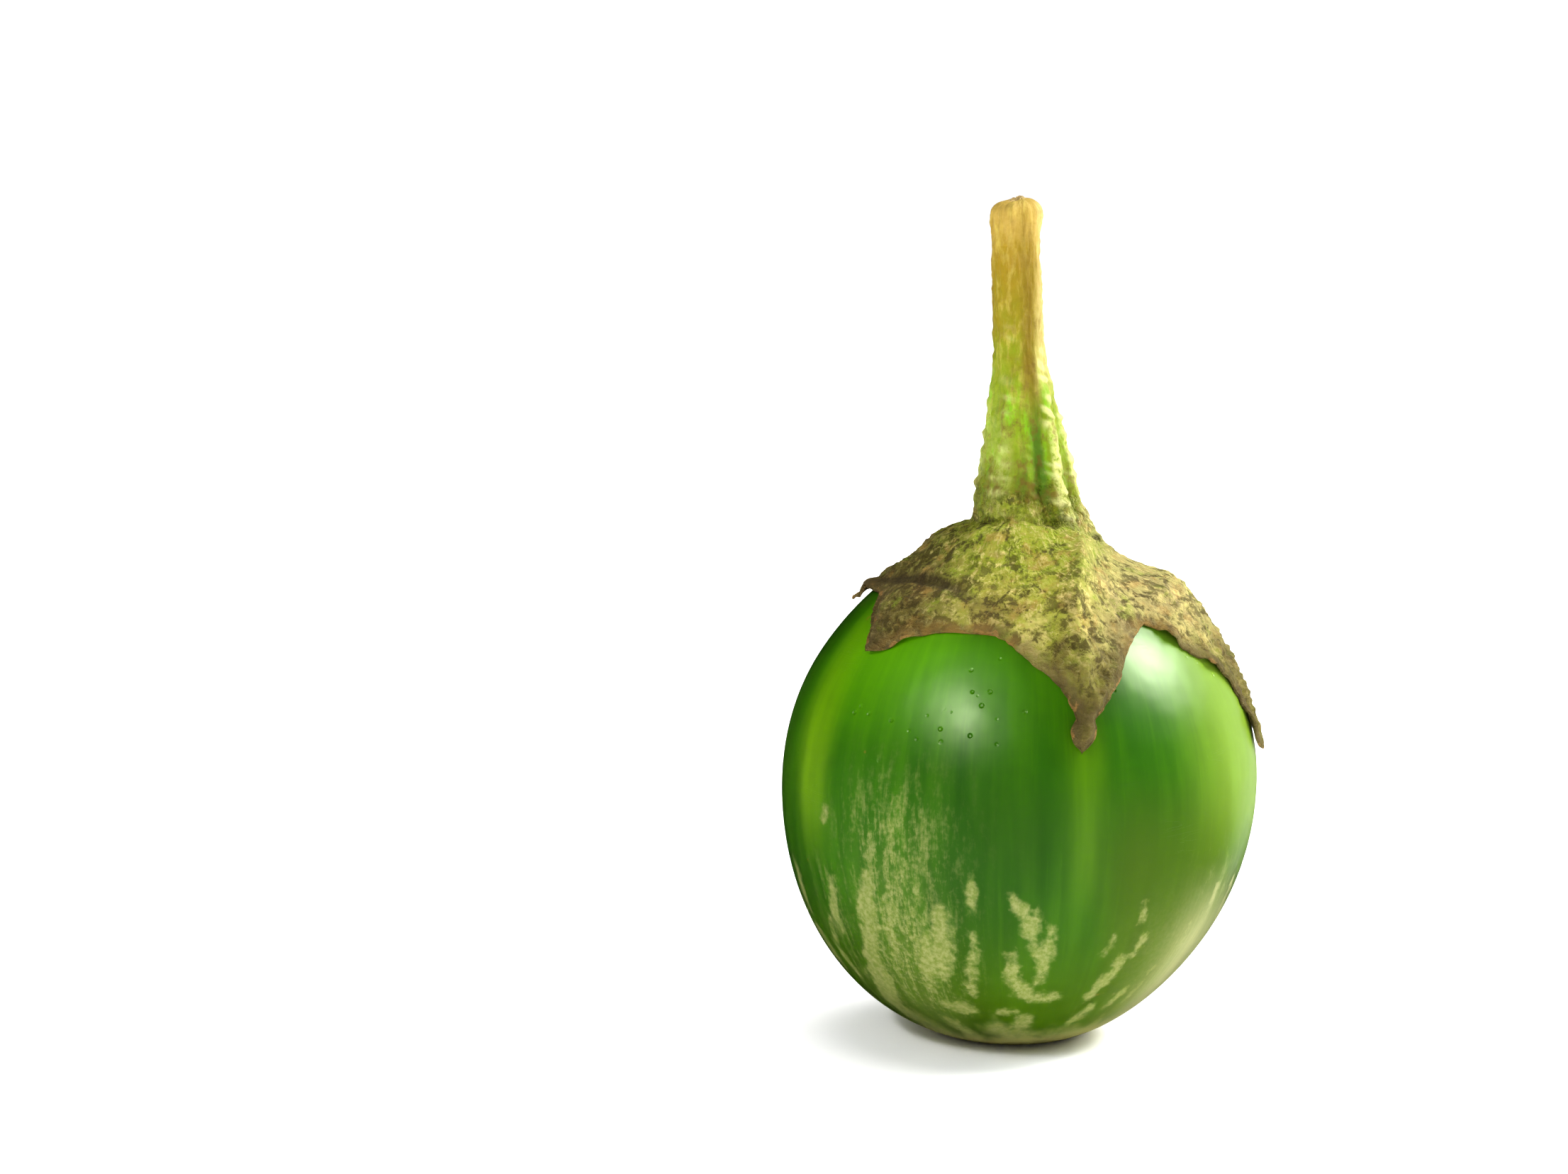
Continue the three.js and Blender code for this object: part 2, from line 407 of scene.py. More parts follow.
def skin_green(paint, place, bearing, fall, fine):
    """Green in fine streaks that run from crown to blossom end, yellow-green under the lobes, painted light
    as a paler yellow-green on the right side, fresh under the calyx, darkest round the middle of the front,
    and duller low down."""
    middle = paint.noise(paint.along(place, 0.085, 0.02), detail=3, roughness=0.55, distortion=0.3)
    broad = paint.noise(paint.along(place, 0.5, 0.03), detail=2)
    deep = paint.blend((0.007, 0.057, 0.0), (0.017, 0.088, 0.0), broad.ease(0.35, 0.65))
    green = paint.blend(deep, (0.06, 0.18, 0.0), middle.ease(0.38, 0.72) * 0.3)
    green = paint.blend(green, (0.02, 0.085, 0.0), fine.ease(0.5, 0.78) * 0.2)
    green = paint.blend(green, (0.09, 0.23, 0.0), fine.ease(0.46, 0.2) * 0.15)

    def band(centre, width, low, high):
        """1 along a bearing, between two falls."""
        away = (bearing - centre + (broad - 0.5) * 8).math("ABSOLUTE")
        return away.ease(width, width * 0.15) * fall.ease(low, low + 14) * fall.ease(high, high - 22)

    under_front, under_right = band(16, 8, 62, 116) * 0.42, band(84, 14, 60, 120) * 0.6
    under_lobes = under_front.most(band(-58, 11, 36, 108)).most(under_right)
    under_lobes = under_lobes.most(band(157, 10, 55, 118)).most(band(-130, 10, 50, 118))
    green = paint.blend(green, (0.14, 0.28, 0.0), under_lobes * (0.25 + middle * 0.5))
    # painted light: the right side made paler yellow-green, as where the light falls on it
    lit = bearing.ease(36, 66) * bearing.ease(120, 92)
    green = paint.blend(green, (0.27, 0.42, 0.03), lit * fall.ease(112, 88) * 0.5)
    near_calyx = fall.ease(80, 50) * bearing.ease(-80, -45) * bearing.ease(80, 20)
    near_calyx = near_calyx * bearing.ease(4, -30, 0.2, 1.0)
    green = paint.blend(green, (0.095, 0.33, 0.0), near_calyx * (0.35 + middle * 0.6))
    dark_front = bearing.bell(0, 15) * fall.bell(92, 18)
    dark_right = bearing.bell(26, 8) * fall.bell(96, 16)
    green = paint.blend(green, (0.014, 0.068, 0.0), dark_front.most(dark_right) * (0.35 + fine * 0.4))
    low = fall.ease(100, 142).most(bearing.ease(12, 30) * bearing.ease(78, 50) * fall.ease(76, 102))
    return paint.blend(green, (0.048, 0.088, 0.0), low * 0.65)


def pale_share(paint, place, bearing, fall, fine, speck):
    """How pale the skin is: ragged marks, clusters of speckled streaks at the left and right, a wash that
    joins them, which at the lower right is partly pale skin and partly a painted reflection, and stripes
    that flow together at the blossom end."""
    ragged = paint.noise(paint.along(place, 0.05, 0.0018), detail=4, roughness=0.65, distortion=0.4)
    wobble = paint.noise(place, 620, detail=3, roughness=0.55, distortion=0.4)
    mark = paint.attribute("mark") + (wobble - 0.5) * 2.4 + (ragged - 0.5) * 0.9 + (speck - 0.5) * 0.5
    marks = mark.ease(-0.55, 0.5) * (0.65 + speck * 0.4)
    streaky = paint.noise(paint.along(place, 0.035, 0.0042), detail=5, roughness=0.75, distortion=0.25)
    cluster = bearing.bell(-31, 16) * fall.ease(68, 98) * fall.ease(152, 132)
    right_cluster = bearing.bell(62, 16) * fall.ease(90, 118)
    left_cluster = bearing.bell(-55, 9) * fall.ease(90, 112) * 0.6
    clusters = cluster.most(right_cluster).most(left_cluster)
    speckled = (streaky * 0.75 + speck * 0.25 + clusters * 0.1).ease(0.50, 0.70) * clusters
    # pale skin at the lower right, partly a painted reflection
    right_pale_and_painted_reflection = bearing.bell(60, 20) * fall.ease(98, 124) * 1.15
    wash = right_pale_and_painted_reflection.most(bearing.bell(-32, 12) * fall.ease(84, 118) * 0.28)
    pale = marks.most(speckled * 0.8).most(wash * (0.35 + fine * 0.75))
    stripes = paint.noise(paint.along(place, 0.24, 0.006), detail=3, roughness=0.5, distortion=0.6)
    blossom = (fall + (stripes - 0.5) * 44 + (wobble - 0.5) * 10).ease(143, 155)
    return pale.most(blossom)


def skin_relief(paint, place, fall, fine, speck, scar):
    """The height of the skin's swells, peel, scratches and pits and of the scar's cork in metres, and how
    scratched the skin is. The swells fade towards the blossom end, and pits lie on the upper half only."""
    scratches = paint.noise(paint.along(place, 0.3, 0.0009), detail=2, distortion=1.5)
    scratch = (scratches - 0.5).math("ABSOLUTE").ease(0.012, 0.0) * paint.noise(place, 90).ease(0.55, 0.7)
    scratch = scratch * fall.ease(108, 88)
    peel = paint.noise(place, 900, detail=2)
    swell = paint.noise(place, 150, detail=2)
    pits = paint.cells(place, 620).ease(0.07, 0.2)
    pit_here = paint.noise(place, 105, detail=1).ease(0.56, 0.62) * fall.ease(86, 70)
    even = (peel * 0.000003 + swell * 0.00016 + fine * 0.000003) * fall.ease(128, 100, 0.2, 1.0)
    height = even - scratch * 0.00001 - (1 - pits) * pit_here * 0.00009 + scar * speck * 0.0003
    return height, scratch


def fruit_material():
    """Waxy green skin with cream marks, lighter on the right side as painted light, a few brown dots and a
    corky scar.
    """
    paint = Paint("fruit_skin", IOR=1.45, Specular_IOR_Level=0.6, Specular_Tint=(0.80, 1.0, 0.55, 1))
    place = paint.here()
    x, y, _ = paint.split(place)
    fall = paint.attribute("fall") * 180
    bearing = x.math("ARCTAN2", y * -1) * np.degrees(1)
    fine = paint.noise(paint.along(place, 0.022, 0.011), detail=3, roughness=0.6)
    speck = paint.noise(place, 1900, detail=3, roughness=0.65)
    scar = paint.attribute("scar")

    green = skin_green(paint, place, bearing, fall, fine)
    cream = paint.blend((0.18, 0.215, 0.04), (0.30, 0.295, 0.10), speck.ease(0.3, 0.7))
    # painted light: the pale marks made lighter on the right side
    cream = paint.blend(cream, (0.50, 0.48, 0.24), bearing.ease(38, 62) * bearing.ease(110, 80) * 0.7)
    cream = paint.blend(cream, (0.60, 0.55, 0.20), fall.ease(146, 165))
    skin = paint.blend(green, cream, pale_share(paint, place, bearing, fall, fine, speck) * 0.78)
    brown = paint.noise(place, 420, detail=2)
    dots = (brown + (speck - 0.5) * 0.08).ease(0.755, 0.80)
    skin = paint.blend(skin, (0.19, 0.12, 0.02), dots * 0.5)
    cork = paint.blend((0.17, 0.075, 0.016), (0.42, 0.24, 0.075), speck.ease(0.38, 0.66))
    skin = paint.blend(skin, cork, scar)

    height, scratch = skin_relief(paint, place, fall, fine, speck, scar)
    roughness = SKIN_ROUGHNESS + speck * 0.02 + scratch * 0.06 + scar * 0.4
    return paint.feed(Base_Color=skin, Roughness=roughness, Normal=paint.bump(height))


def make_fruit():
    points, values = fruit_surface()
    faces = grid_faces(FRUIT_ROWS, FRUIT_COLUMNS, True)
    points[0], points[-1] = points[0].mean(0), points[-1].mean(0)
    piece = new_piece("fruit_skin", points.reshape(-1, 3), faces, fruit_material(), values)
    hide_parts("fruit")


# ---------------------------------------------------------------- calyx

# The usual edge of a lobe: share of the way from notch to tip, share of the notch's turn that is left there,
# and share of the fall from notch to tip.
TYPICAL_EDGE = [(0, 1, 0), (0.12, 0.78, 0.03), (0.3, 0.55, 0.2), (0.5, 0.36, 0.43), (0.7, 0.19, 0.68),
                (0.84, 0.09, 0.84), (0.93, 0.08, 0.93), (1, 0, 1)]


def typical_edge(notch_turn, notch_fall, tip_fall):
    """The usual edge of a lobe, stretched from a notch to a tip."""
    return [(q, notch_turn * w, mix(notch_fall, tip_fall, f)) for q, w, f in TYPICAL_EDGE]


# Each lobe's bearing, its tip as (degrees round from that bearing, fall), the fall of its middle line at
# the notches, its edges from notch to tip as (share of the way, degrees round, fall), how far in mm it
# stands off the skin at the fall where it is lifted and at its tip, and how tall its midrib is.
LOBES = [
    {"bearing": -54, "tip": (4.6, 53.8), "middle": 41,
     "lift": 0.15, "tip_lift": 0.35, "lifted": 45, "ridge": 0.35,
     "left": [(0, -18, 38), (0.25, -12, 38.7), (0.5, -5.5, 42), (0.72, 0, 46.5), (0.88, 2.8, 50.5),
              (1, 4.6, 53.8)],
     "right": [(0, 35, 46), (0.15, 27, 46.3), (0.32, 21.5, 47.5), (0.5, 16.5, 49.2), (0.66, 12.3, 51.3),
               (0.82, 8.8, 52.8), (1, 4.6, 53.8)]},
    {"bearing": 17, "tip": (-2.6, 74.6), "middle": 46,
     "lift": 0.35, "tip_lift": 0.3, "lifted": 52, "ridge": 1.6,
     "left": [(0, -36, 46), (0.1, -26.5, 46.3), (0.2, -21.6, 48), (0.32, -17, 51.1), (0.45, -12, 55.2),
              (0.56, -7.6, 58.4), (0.66, -5.0, 61.7), (0.76, -3.4, 65.2), (0.82, -3.2, 67.2),
              (0.88, -4.4, 69.4), (0.93, -4.6, 71.4), (0.97, -3.6, 73), (1, -2.6, 74.6)],
     "right": [(0, 28, 44.8), (0.1, 23.9, 46.5), (0.2, 18.7, 49.6), (0.3, 14.7, 53.1), (0.42, 11.8, 56.6),
               (0.52, 9.6, 59.4), (0.62, 6.7, 62), (0.73, 3.9, 65.4), (0.8, 1.5, 67.7), (0.86, 1.7, 69.4),
               (0.92, 1.0, 71.4), (0.965, -0.4, 73.2), (1, -2.6, 74.6)]},
    {"bearing": 84, "tip": (-1.0, 80.8), "middle": 45,
     "lift": 0.8, "tip_lift": 0.35, "lifted": 39, "ridge": 0.15,
     "left": [(0, -39, 44.8), (0.1, -34.8, 46.9), (0.22, -30.2, 50.8), (0.33, -26, 54.2), (0.45, -20, 57.6),
              (0.55, -15, 61), (0.65, -11, 64.6), (0.76, -8.8, 69), (0.87, -7, 74), (0.95, -5, 78.5),
              (1, -1, 80.8)],
     "right": [(0, 36, 46), (0.12, 29, 47.5), (0.27, 22.5, 52), (0.42, 17, 57), (0.57, 12, 62.5),
               (0.72, 8, 68.5), (0.86, 5, 74.5), (0.95, 3.2, 78.8), (1, -1, 80.8)]},
    {"bearing": 156, "tip": (2, 70), "middle": 46,
     "lift": 0.4, "tip_lift": 0.5, "lifted": 50, "ridge": 0.45,
     "left": typical_edge(-36, 46, 70), "right": typical_edge(37, 44, 70)},
    {"bearing": 226, "tip": (-2, 66), "middle": 43,
     "lift": 0.3, "tip_lift": 0.9, "lifted": 48, "ridge": 0.35,
     "left": typical_edge(-33, 44, 66), "right": typical_edge(26, 40, 66)},
    {"bearing": 269, "tip": (2, 43), "middle": 39,
     "lift": 0.1, "tip_lift": 0.6, "lifted": 41, "ridge": 0.2,
     "left": [(0, -17, 40), (0.3, -8, 38.4), (0.65, -1.5, 39.6), (1, 2, 43.4)],
     "right": [(0, 19, 38), (0.3, 9, 37.8), (0.65, 4.6, 39.4), (1, 2, 43.4)]},
]
THIN = 0.2 * MM  # half the thickness of the calyx near its free edges
LEAST_THICKNESS = 0.3  # mm of calyx at the least, in its creases and at its free edges
EDGE_GAP = 0.06 * MM  # the least gap between the skin and the calyx
FOLD_LINE = ([-90, -65, -42, -25, -8], [36, 33.5, 32.3, 34.5, 41])  # bearings and falls of the left fold
FIRST_LOBE_SEED = 50
DISTANCE_BLOCKS = 40  # the edge is measured in as many blocks, which bounds the memory


def lobe_patch(lobe, seed):
    """One lobe with its share of the cap, as a grid: rows go from the crown to the tip, columns from its
    left edge to its right. Inside the notches a row is a share of the way to them. Beyond them a row runs
    from the left edge to the midline to the right edge: the bearing goes in proportion to u, and the fall in
    proportion to u squared. Gives bearing and fall in degrees, u, and the share q from notches to tip."""
    u = np.linspace(-1, 1, 2 * CALYX_HALF_COLUMNS + 1)[None, :]
    q = np.linspace(0, 1, LOBE_ROWS + 1) ** 1.15
    side = np.abs(u)
    ragged = waves(np.stack([q * 9, q * 0 + seed], -1), 0.55, seed, 24) * 0.34 * smooth(q, 0.02, 0.1)
    edges = {}
    for name, sign in (("left", -1), ("right", 1)):
        knots, turns, falls = np.array(lobe[name]).T
        taper = smooth(q, 1.0, 0.97)
        turn = flowing(knots, turns, q) + sign * ragged * taper * (1 if sign < 0 else -0.8)
        fall = flowing(knots, falls, q) + 0.25 * ragged * taper
        edges[sign] = (turn[:, None], fall[:, None])
    centre_turn = (smooth(q, 0.1, 1) * lobe["tip"][0])[:, None]
    centre_fall = mix(lobe["middle"], lobe["tip"][1], q)[:, None]
    edge_turn = np.where(u < 0, edges[-1][0], edges[1][0])
    edge_fall = np.where(u < 0, edges[-1][1], edges[1][1])
    turn, fall = mix(centre_turn, edge_turn, side), mix(centre_fall, edge_fall, side ** 2)
    inner = np.linspace(0, 1, INNER_ROWS + 1)[:-1, None]
    turn = np.concatenate([np.broadcast_to(turn[:1], (INNER_ROWS, u.size)), turn])
    fall = np.concatenate([inner * fall[:1], fall])
    share = np.concatenate([np.zeros(INNER_ROWS), q])[:, None] + 0 * u
    swirl = SWIRL * smooth(fall, *SWIRL_FALLS)
    return lobe["bearing"] + turn + swirl, fall, u + 0 * fall, share


def distance_to_edges(flat, edge):
    """Millimetres from each point of the flat pattern to the nearest point of the calyx's free edge."""
    near = np.full(len(flat), 1e9)
    for block in np.array_split(edge, DISTANCE_BLOCKS):
        near = np.minimum(near, np.linalg.norm(flat[:, None] - block[None], axis=-1).min(1))
    return near / MM


def flat_pattern(bearing, fall):
    """The calyx flattened: (s sin b, s cos b), where s is the length of skin from the crown."""
    reach = SKIN_CURVE * np.radians(fall)
    return np.stack([reach * np.sin(np.radians(bearing)), reach * np.cos(np.radians(bearing))], -1)


def sheet_gap(lobe, flat, fall, u, q, edge):
    """Millimetres between the skin and the calyx's inner face: a hair, and more where the lobe is lifted at
    its middle, at its tip, and in low waves along its free edges."""
    hold_down = mix(1.0, 0.75, smooth(q, 0.0, 0.2))
    lifted = lobe["lift"] * bell(fall, lobe["lifted"], 9) * (1 - hold_down * u ** 2) * smooth(fall, 20, 34)
    tip = lobe["tip_lift"] * smooth(q, 0.72, 1.0)
    uneven = 0.35 * waves(flat, 7 * MM, 21, 20) * smooth(edge, 3.0, 0.0) * smooth(fall, 25, 40)
    return EDGE_GAP / MM + np.maximum(lifted + tip + np.maximum(uneven, 0), 0)


def sheet_thickness(bearing, reach, edge):
    """Millimetres of calyx without its relief: thin at the free edges, with a plateau and a collar round the
    stalk, thicker at the front, and a dip at the right."""
    left = np.clip(0.5 - 0.5 * np.sin(np.radians(bearing - 10)), 0, 1)
    plateau = mix(0.1, 1.1, left) * smooth(reach, mix(11.5, 12.0, left), 8.0)
    collar = mix(0.5, 0.3, smooth(left, 0.1, 0.75)) * np.exp(-np.maximum(reach - 7.0, 0) / 2.0)
    front_collar = bell(signed(bearing), 5, 48) * np.exp(-np.maximum(reach - 6.8, 0) / 1.5)
    dip = 0.9 * bell(reach, 12.3, 2.2) * smooth(np.sin(np.radians(bearing)), 0.5, 0.95)
    thin = 2 * THIN / MM * mix(0.55, 1.0, smooth(edge, 0, 0.5)) + 0.14 * smooth(edge, 0.0, 5.0)
    return thin + plateau + collar + front_collar - dip


def sheet_relief(lobe, flat, reach, bearing, fall, u, q, edge):
    """Millimetres of relief on the calyx's outer face: a midrib on each lobe, side veins, wrinkles across
    the midrib and small lumps, less the left lobe's crease and a valley between lobes. Gives the crease
    too."""
    across = np.abs(u)
    own = mix(smooth(across, 1.0, 0.65), 1, smooth(q, 0.0, 0.12))
    wander = 1.6 * waves(np.stack([fall, 0 * fall + lobe["bearing"]], -1), 9.0, 29, 12)
    off_rib = np.abs(bearing - lobe["bearing"] - SWIRL * smooth(fall, *SWIRL_FALLS) - wander)
    away = np.hypot(reach * np.sin(np.radians(off_rib)), 0.25) - 0.25
    rib_fade = smooth(reach, 5, 12) * mix(1.0, 0.5, smooth(q, 0.3, 0.95)) * lobe["ridge"]
    rib = (0.65 * np.exp(-away / 0.9) + 0.8 * bell(away, 0, 3.2)) * rib_fade
    veins = np.cos(2 * np.pi * (reach - 1.5 * away) / 3.1 + waves(flat, 6 * MM, 33, 12) * 1.4)
    veins = 0.07 * smooth(veins, 0.55, 1.0) * smooth(away, 0.4, 1.6) * smooth(edge, 0.3, 1.6)
    wrinkles = 0.065 * waves(np.stack([reach, away * 0.42], -1), 0.95, 37, 60) * smooth(edge, 0.15, 1.2)
    lumps = 0.11 * waves(flat, 2.4 * MM, 41, 50) + 0.08 * waves(flat, 0.9 * MM, 43, 90)
    from_front = signed(bearing)
    crease = 0.75 * bell(fall, flowing(*FOLD_LINE, from_front), 1.7) * bell(from_front, -50, 30)
    valley = 0.35 * smooth(across, 0.55, 1.0) * bell(fall, 38, 9)
    relief = (rib + veins + wrinkles) * own + lumps * smooth(edge, 0.1, 1.5) - crease - valley
    return relief * smooth(edge, 0.0, 0.9), crease


def calyx_heights(lobe, bearing, fall, u, q, edge):
    """Heights above the skin of the calyx's outer and inner faces, and where it is creased and rusty."""
    flat = flat_pattern(bearing, fall)
    reach = SKIN_CURVE * np.radians(fall) / MM
    inner = sheet_gap(lobe, flat, fall, u, q, edge)
    relief, crease = sheet_relief(lobe, flat, reach, bearing, fall, u, q, edge)
    outer = inner + np.maximum(sheet_thickness(bearing, reach, edge) + relief, LEAST_THICKNESS)
    rust = smooth(np.abs(u), 0.3, 1.0) * bell(fall, 46, 6)
    return outer * MM, inner * MM, crease, rust


def raised(bearing, fall, height):
    """Points a height above the skin, at a bearing and a fall in degrees."""
    return over_skin(np.radians(bearing), np.radians(fall), height)


def free_edges(patch):
    """Both free edges of a lobe in the flat pattern."""
    bearing, fall, _, _ = patch
    return [flat_pattern(bearing[INNER_ROWS:, side], fall[INNER_ROWS:, side]) for side in (0, -1)]


def lobe_shell(lobe, patch, edge_points):
    """One lobe as points, faces and values: an outer and an inner face, joined along the free edges by a
    rounded rim whose middle line is pushed out a little."""
    bearing, fall, u, q = patch
    shape, size = bearing.shape, bearing.size
    edge = distance_to_edges(flat_pattern(bearing, fall).reshape(-1, 2), edge_points).reshape(shape)
    outer, inner, crease, rust = calyx_heights(lobe, bearing, fall, u, q, edge)

    index = np.arange(size).reshape(shape)
    border = np.concatenate([index[INNER_ROWS:, 0], index[-1, 1:], index[INNER_ROWS:-1, -1][::-1]])
    row, column = np.unravel_index(border, shape)
    halfway = raised(bearing, fall, (outer + inner) / 2)
    rim = halfway[row, column]
    ends = rim[0].copy(), rim[-1].copy()
    outwards = rim - halfway[np.clip(row, 0, shape[0] - 2), np.clip(column, 1, shape[1] - 2)]
    length = np.linalg.norm(outwards, axis=-1, keepdims=True)
    rim = rim + outwards / np.maximum(length, 1e-9) * THIN * 0.5
    rim[0], rim[-1] = ends

    face = grid_faces(*shape, False)
    line = np.arange(len(border)) + 2 * size
    upper = np.stack([border[:-1], border[1:], line[1:], line[:-1]], -1)
    lower = np.stack([line[:-1], line[1:], border[1:] + size, border[:-1] + size], -1)
    sheets = [raised(bearing, fall, height).reshape(-1, 3) for height in (outer, inner)]
    edge, crease, rust = edge.ravel(), crease.ravel(), rust.ravel()
    none = np.zeros(len(border))
    values = np.stack([np.concatenate([edge, edge, none]), np.concatenate([crease, 0 * crease, none]),
                       np.concatenate([rust, rust, rust[border]])])
    return np.concatenate([*sheets, rim]), np.concatenate([face, face[:, ::-1] + size, upper, lower]), values


def calyx_surface():
    """All lobes, side by side, as one closed shell."""
    patches = [lobe_patch(lobe, FIRST_LOBE_SEED + i) for i, lobe in enumerate(LOBES)]
    edge_points = np.concatenate([line for patch in patches for line in free_edges(patch)])
    shells = [lobe_shell(lobe, patch, edge_points) for lobe, patch in zip(LOBES, patches)]
    points, faces, values = zip(*shells)
    starts = np.cumsum([0] + [len(block) for block in points[:-1]])
    faces = [block + start for block, start in zip(faces, starts)]
    edge, crease, rust = np.concatenate(values, axis=1)
    return np.concatenate(points), np.concatenate(faces), {"edge": edge, "crease": crease, "rust": rust}


def sepal_colours(paint, place):
    """Dry sepal: olive, brown and green in patches, with dark and cream flecks, painted shade on its left
    side and low down, and painted light on its right side. Gives the colour and the heights of its grain in
    metres."""
    x, _, z = paint.split(place)
    patchy = paint.noise(place, 190, detail=3, roughness=0.6, distortion=0.4)
    blotch = paint.noise(place, 480, detail=5, roughness=0.70, distortion=0.5)
    fleck = paint.noise(place, 1300, detail=4, roughness=0.72, distortion=0.3)
    grain = paint.noise(paint.along(place, 0.06, 0.0009), detail=4, roughness=0.7, distortion=1.0)
    colour = patchy.ramp((0.34, (0.20, 0.155, 0.03)), (0.46, (0.33, 0.29, 0.045)),
                         (0.56, (0.36, 0.37, 0.04)), (0.70, (0.56, 0.48, 0.13)))
    near_stalk = z.ease(0.0475, 0.0525)
    colour = paint.blend(colour, (0.25, 0.32, 0.01), near_stalk * blotch.ease(0.36, 0.5) * 0.85)
    # painted shade darkens the left side, painted light makes the right side paler tan
    painted_shade_left, painted_light_right = x.ease(-0.002, -0.0115), x.ease(0.003, 0.011)
    colour = paint.blend(colour, (0.10, 0.07, 0.02), painted_shade_left * (0.5 + patchy * 0.6))
    colour = paint.blend(colour, (0.42, 0.34, 0.15), painted_light_right * z.ease(0.040, 0.045) * 0.6)
    quiet = paint.noise(place, 230, detail=2).ease(0.38, 0.62) * 0.7 + 0.3
    rusty = paint.noise(place, 330, detail=4, roughness=0.7, distortion=0.3)
    colour = paint.blend(colour, (0.38, 0.21, 0.05), rusty.ease(0.52, 0.66) * 0.55)
    colour = paint.blend(colour, (0.22, 0.32, 0.01), rusty.ease(0.46, 0.34) * 0.5)
    light = (fleck * 0.45 + grain * 0.55 + painted_light_right * -0.02).ease(0.50, 0.36)
    light = light * (0.9 - painted_shade_left * 0.5 - painted_light_right * 0.25) * (0.35 + quiet * 0.65)
    colour = paint.blend(colour, (0.76, 0.61, 0.21), light)
    dark = blotch * 0.5 + fleck * 0.25 + grain * 0.25 + painted_shade_left * 0.02 - near_stalk * 0.01
    colour = paint.blend(colour, (0.05, 0.034, 0.007), dark.ease(0.485, 0.565) * (0.95 - quiet * 0.3))
    # painted shade on the lower part of the calyx
    shady = (z + (patchy - 0.5) * 0.012).ease(0.0490, 0.0390) * (0.92 - painted_light_right * 0.2)
    colour = paint.blend(colour, (0.068, 0.054, 0.010), shady)
    height = blotch * -0.0006 + fleck * -0.0004 + grain * -0.0006
    return colour, height


def calyx_material():
    """Dry, leathery sepals, darker towards their free edges, with a thin orange-brown rim, and painted shade
    in the left lobe's crease.
    """
    paint = Paint("calyx", Specular_IOR_Level=0.15)
    place = paint.here()
    colour, height = sepal_colours(paint, place)
    ragged = paint.noise(place, 900, detail=3)
    edge = paint.attribute("edge")
    colour = paint.blend(colour, (0.09, 0.062, 0.022), (edge + ragged * 2.5).ease(3.2, 1.4) * 0.6)
    rim = (edge + (ragged - 0.5) * 2.0).ease(0.14, 0.0) * paint.noise(place, 260).ease(0.42, 0.56)
    colour = paint.blend(colour, (0.30, 0.16, 0.045), rim * 0.7)
    rust = paint.attribute("rust") * paint.noise(place, 480, detail=4).ease(0.42, 0.58) * edge.ease(2.2, 0.3)
    colour = paint.blend(colour, (0.25, 0.145, 0.028), rust * 0.6)
    # painted shade in the crease of the left lobe
    colour = paint.blend(colour, (0.05, 0.035, 0.012), (paint.attribute("crease") * 1.9).least(0.8))
    return paint.feed(Base_Color=colour, Roughness=0.6 + ragged * 0.3, Normal=paint.bump(height))


def make_calyx():
    points, faces, values = calyx_surface()
    piece = new_piece("calyx_cap", points, faces, calyx_material(), values)
    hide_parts("calyx")


# ---------------------------------------------------------------- stalk

# The stalk from its foot to its cut end: share of its height, radius and sideways place in mm.
STALK_LINE = [(0, 6.1, 1.1), (0.05, 5.5, 0.9), (0.12, 4.9, 0.6), (0.22, 4.2, 0.45), (0.33, 3.5, 0.15),
              (0.43, 3.0, 0), (0.53, 2.62, -0.3), (0.75, 2.46, -0.65), (0.93, 2.34, -0.8), (1, 2.42, -0.72)]
STALK_FLARE = (0.2, 1.2, 1.9)  # mm that the foot spreads at the left, at the front and back, at the right
FLARE_HEIGHT = 1.5 * MM  # the height over which that spread falls to about a third
# Ribs and grooves: bearing and half-width in degrees, and height in mm at the foot.
STALK_RIBS = [(-38, 30, 0.45), (43, 11, 0.75), (21, 10, -0.8), (89, 17, 0.6), (64, 8, -0.35), (190, 25, 0.6),
              (150, 10, -0.4), (262, 20, 0.5), (228, 10, -0.4), (-4, 9, -0.25)]
STALK_TWIST = 11  # degrees that the ribs turn on their way up
RIB_FADE = (0.62, 0.1)  # shares of the height where the ribs are faintest and strongest
WART_SPACING = 1.75 * MM
CUT_ROUNDING = 1.7 * MM
FOOT_GAP = 0.15 * MM  # between the skin and the underside of the foot
LEVEL_HEIGHT = 0.0898  # the height that the stalk's colours are shares of


def skin_height(x, y):
    """Height of the fruit's skin at a point near the stalk: z = widest height + rise sqrt(1 - r^2 / R^2)."""
    return WIDEST_HEIGHT + CROWN_RISE * np.sqrt(1 - (x ** 2 + y ** 2) / FRUIT_RADIUS ** 2)


def stalk_ridges(bearing, height, surface, whole):
    """Millimetres of the stalk's ribs and grooves, which turn and fade on their way up, and of the rows of
    warts that the ribs carry."""
    fade = smooth(whole, *RIB_FADE)
    turn = signed(np.degrees(bearing) + 0 * height)
    uneven = waves(surface, 2.6 * MM, 62, 50)
    ribs = 0 * height
    warts = 0 * height
    for number, (middle, width, size) in enumerate(STALK_RIBS):
        away = signed(turn - middle - STALK_TWIST * (1 - fade))
        shape = bell(away, 0, width * mix(2.6, 1.0, fade))
        ribs = ribs + size * shape * mix(0.14, 1.0, fade)
        if size > 0:
            shift = 1.6 * waves(surface, 5 * MM, 70 + number, 20)
            beat = 2 * np.pi * height / WART_SPACING + 2.1 * number + away / width * 1.5 + shift
            beat = 0.5 + 0.5 * np.cos(beat)
            strong = mix(0.22, 0.55, smooth(size / width, 0.02, 0.065))
            narrow = bell(away, 0, min(width, 18))
            warts = warts + narrow * beat ** 1.2 * strong * smooth(uneven, -0.8, 0.5)
    return ribs, warts


